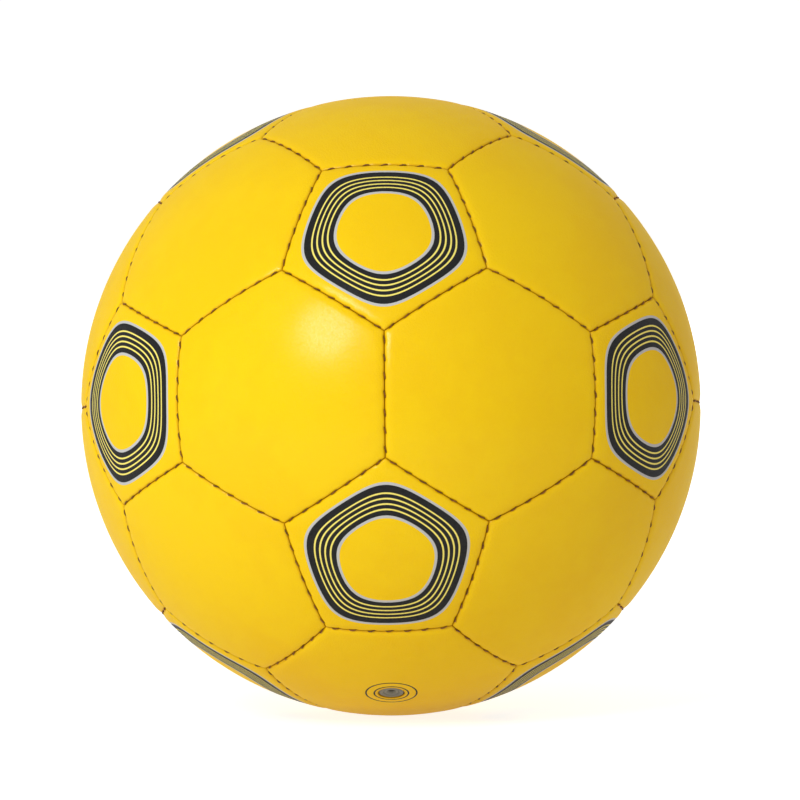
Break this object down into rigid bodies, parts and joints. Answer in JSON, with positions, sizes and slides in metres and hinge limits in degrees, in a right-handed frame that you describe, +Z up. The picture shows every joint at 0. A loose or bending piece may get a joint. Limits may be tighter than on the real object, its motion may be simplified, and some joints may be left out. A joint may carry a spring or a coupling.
{
  "type": "handball",
  "caption": "Hand-stitched yellow handball of hexagon and pentagon panels with ringed dark print, laminated panels, stitched seams, rubber bladder and needle valve.",
  "frame": {"origin": "centre of the ball", "axes": "+Z up; -Y towards the viewer, between the two front hexagons; +X to the viewer's right. The ball is turned 7.2 degrees about X from its symmetric pose, so it rests on the smooth face of the valve hexagon"},
  "size_m": [0.188, 0.188, 0.188],
  "materials": {
    "printed_leather": "yellow synthetic leather with a fine pebbled grain and a soft gloss",
    "foam": "fine-celled white foam",
    "lining_cloth": "plain-woven cotton and polyester",
    "thread": "twisted thread, waxed, near black",
    "bladder_rubber": "matt butyl rubber",
    "valve_rubber": "grey moulded rubber, satin"
  },
  "bodies": {
    "ball": {"back_left_hexagon_panel": "printed_leather", "back_left_lower_hexagon_panel": "printed_leather", "back_left_upper_hexagon_panel": "printed_leather", "back_lower_pentagon_panel": "printed_leather", "back_right_hexagon_panel": "printed_leather", "back_right_lower_hexagon_panel": "printed_leather", "back_right_upper_hexagon_panel": "printed_leather", "back_upper_pentagon_panel": "printed_leather", "bladder": "bladder_rubber", "bottom_back_hexagon_panel": "printed_leather", "bottom_left_pentagon_panel": "printed_leather", "bottom_right_pentagon_panel": "printed_leather", "front_left_hexagon_panel": "printed_leather", "front_left_lower_hexagon_panel": "printed_leather", "front_left_upper_hexagon_panel": "printed_leather", "front_lower_pentagon_panel": "printed_leather", "front_right_hexagon_panel": "printed_leather", "front_right_lower_hexagon_panel": "printed_leather", "front_right_upper_hexagon_panel": "printed_leather", "front_upper_pentagon_panel": "printed_leather", "hexagon_foam": "foam", "hexagon_lining": "lining_cloth", "hexagon_seam_stitches": "thread", "left_back_pentagon_panel": "printed_leather", "left_front_pentagon_panel": "printed_leather", "left_lower_hexagon_panel": "printed_leather", "left_upper_hexagon_panel": "printed_leather", "pentagon_foam": "foam", "pentagon_lining": "lining_cloth", "pentagon_seam_stitches": "thread", "right_back_pentagon_panel": "printed_leather", "right_front_pentagon_panel": "printed_leather", "right_lower_hexagon_panel": "printed_leather", "right_upper_hexagon_panel": "printed_leather", "top_back_hexagon_panel": "printed_leather", "top_front_hexagon_panel": "printed_leather", "top_left_pentagon_panel": "printed_leather", "top_right_pentagon_panel": "printed_leather", "valve_hexagon_panel": "printed_leather", "valve_housing": "valve_rubber", "valve_patch": "bladder_rubber"},
    "plug": {"valve_plug": "valve_rubber"}
  },
  "joints": [
    {"name": "valve_plug_pull", "type": "slide", "parent": "ball", "child": "plug", "axis": [0, -0.4711, -0.8821], "range_m": [0, 0.02]}
  ]
}
